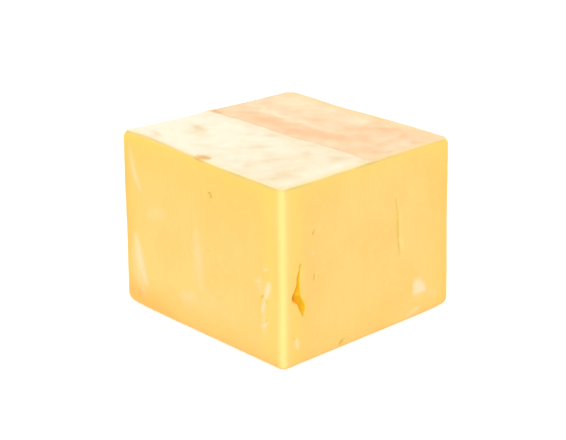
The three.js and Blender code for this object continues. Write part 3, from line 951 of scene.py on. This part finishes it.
# %% [markdown]
# ## The torn curd
#
# Torn curd is moist and deep in colour, and narrow hollows gather dirt. The mesh has real hollows that
# shade themselves, and some of their shade is painted too: olive in the slit and the pits, a dark band
# under the gouge's left lip, a deeper orange the deeper the gouge goes, and a tan line beside the crease.

# %% Curd that was torn open
# The gouge shows inner curd: mustard where it has begun to dry, and an orange-yellow where it is
# deepest, partly moist curd and partly painted shade. Under its left lip a painted shadow darkens it.
# The slit and the pits are olive as painted shade, the side smudges olive as dirt and shade, and the
# knife's tears and the crease's painted shadow are tan.
CURD_OPENED, CURD_MOIST_SHADED, CURD_LIP_SHADOW = "#DDAE14", "#EE9600", "#B89A1C"
CURD_OLIVE_SHADE_AND_DIRT, CURD_TAN = "#B8AA48", "#C99A4C"

opened = add(tree, "ShaderNodeMapRange", {"Value": stains["gouge"], "From Min": 0, "From Max": 0.12})
# The deepest part of the gouge is painted more orange, partly moist curd and partly shade
moist_and_shaded = add(tree, "ShaderNodeMapRange", {"Value": stains["gouge"], "From Min": 0.4, "From Max": 0.8})
lip_shadow = add(tree, "ShaderNodeMath", {0: stains["lip"], 1: broken}, operation="MULTIPLY")
for share, tone in (
    (opened, CURD_OPENED), (moist_and_shaded, CURD_MOIST_SHADED), (lip_shadow, CURD_LIP_SHADOW), (stains["pit"], CURD_OLIVE_SHADE_AND_DIRT),
    (stains["tear"], CURD_TAN),
):
    mix = {SHARE: share, UNDER: colour, OVER: linear(tone)}
    colour = add(tree, "ShaderNodeMix", mix, MIXED, data_type="RGBA")
print("nodes so far:", len(tree.nodes))

# %% [markdown]
# ## Grain and shine
#
# The grain of pressed curd is less than a tenth of a millimetre deep. In the mesh it would take
# millions of points, so it is a bump. Light goes a little way into the curd and comes out again, and a
# weak scatter under the surface gives that softness without blurring the marks.

# %% Grain and shine
# The skin has a fine grain and shallow dimples, and the cut top is rougher, because the knife tore
# it. Fat and water give an index of refraction near 1.45 and a broad sheen with no sharp highlight.
GRAIN_MM, GRAIN_DEPTH = 0.8, 0.05
DIMPLE_DEPTH, TORN_DEPTH = 0.12, 0.25
GLOW_MM = 0.7

grain = add(tree, "ShaderNodeTexNoise", {"Vector": position, "Scale": 1 / (GRAIN_MM * MM), "Detail": 5})
bump = add(tree, "ShaderNodeBump", {"Height": grain, "Strength": 0.4, "Distance": GRAIN_DEPTH * MM})
bump = add(tree, "ShaderNodeBump", {
    "Height": mottle, "Strength": 0.5, "Distance": DIMPLE_DEPTH * MM, "Normal": bump,
})
bump = add(tree, "ShaderNodeBump", {
    "Height": crumbs, "Strength": stains["top"], "Distance": TORN_DEPTH * MM, "Normal": bump,
})
ramp = {"Value": mottle, "From Min": 0.3, "From Max": 0.7, "To Min": 0.42, "To Max": 0.56}
waxy = add(tree, "ShaderNodeMapRange", ramp)
dry = add(tree, "ShaderNodeMapRange", {"Value": stains["top"], "To Min": 0, "To Max": 0.18})
roughness = add(tree, "ShaderNodeMath", {0: waxy, 1: dry}, operation="ADD")
curd = add(tree, "ShaderNodeBsdfPrincipled", {
    "Base Color": colour,
    "Roughness": roughness,
    "IOR": 1.45,
    "Subsurface Weight": 0.25,
    "Subsurface Radius": (1.0, 0.6, 0.3),
    "Subsurface Scale": GLOW_MM * MM,
    "Normal": bump,
})
add(tree, "ShaderNodeOutputMaterial", {"Surface": curd})
mesh.materials.append(jack)
print("material nodes:", len(tree.nodes))

# %% [markdown]
# ## Floor
#
# The block stands on a plain pale card. It could be a curved backdrop. A large flat sheet is enough,
# because the eye looks down and sees nothing but the card.

# %% Matt white card
FLOOR_REACH = 4.0
CARD_WHITE = "#F4F4F4"
CARD_GLOW = 0.15

floor_mesh = bpy.data.meshes.new("floor")
corners = [(-1, -1), (1, -1), (1, 1), (-1, 1)]
floor_mesh.from_pydata([(FLOOR_REACH * u, FLOOR_REACH * v, 0) for u, v in corners], [], [(0, 1, 2, 3)])
floor = bpy.data.objects.new("floor", floor_mesh)
bpy.context.scene.collection.objects.link(floor)
card = bpy.data.materials.new("matt_white_card")
card.use_nodes = True
sheet = card.node_tree.nodes["Principled BSDF"]
sheet.inputs["Base Color"].default_value = linear(CARD_WHITE)
sheet.inputs["Roughness"].default_value = 0.9
sheet.inputs["Specular IOR Level"].default_value = 0.1
sheet.inputs["Emission Color"].default_value = linear("#FFFFFF")
sheet.inputs["Emission Strength"].default_value = CARD_GLOW
floor_mesh.materials.append(card)
print("floor reaches", FLOOR_REACH, "m each way")

# %% [markdown]
# ## Light
#
# The picture is bright and almost without shadow. The main light stands a little above the eye, so
# both sides get nearly the same share, the upright edge between them gets the most, and the shadow
# falls behind the block. A second light from above whitens the top, and two low ones keep the far sides
# readable. Far lights with a soft border are the plainest way to say this: an angle and a strength.

# %% Lights
# Each light: azimuth, elevation, strength, and how many degrees of the sky it fills
LIGHTS = {
    "key": (-45.5, 30, 3.15, 14),
    "top": (-43, 75, 0.75, 40),
    "fill_right": (95, 15, 2, 30),
    "fill_back": (180, 15, 2, 30),
}
SKY_STRENGTH = 0.18

for name, (azimuth, elevation, strength, spread) in LIGHTS.items():
    lamp = bpy.data.lights.new(name, "SUN")
    lamp.energy = strength
    lamp.angle = math.radians(spread)
    light = bpy.data.objects.new(name, lamp)
    light.rotation_euler = direction(azimuth, elevation).to_track_quat("Z", "Y").to_euler()
    bpy.context.scene.collection.objects.link(light)

world = bpy.data.worlds.new("studio")
world.use_nodes = True
sky = world.node_tree.nodes["Background"]
sky.inputs["Color"].default_value = linear("#FFFFFF")
sky.inputs["Strength"].default_value = SKY_STRENGTH
bpy.context.scene.world = world
bpy.context.scene.view_settings.view_transform = "Standard"
print("lights:", ", ".join(LIGHTS))
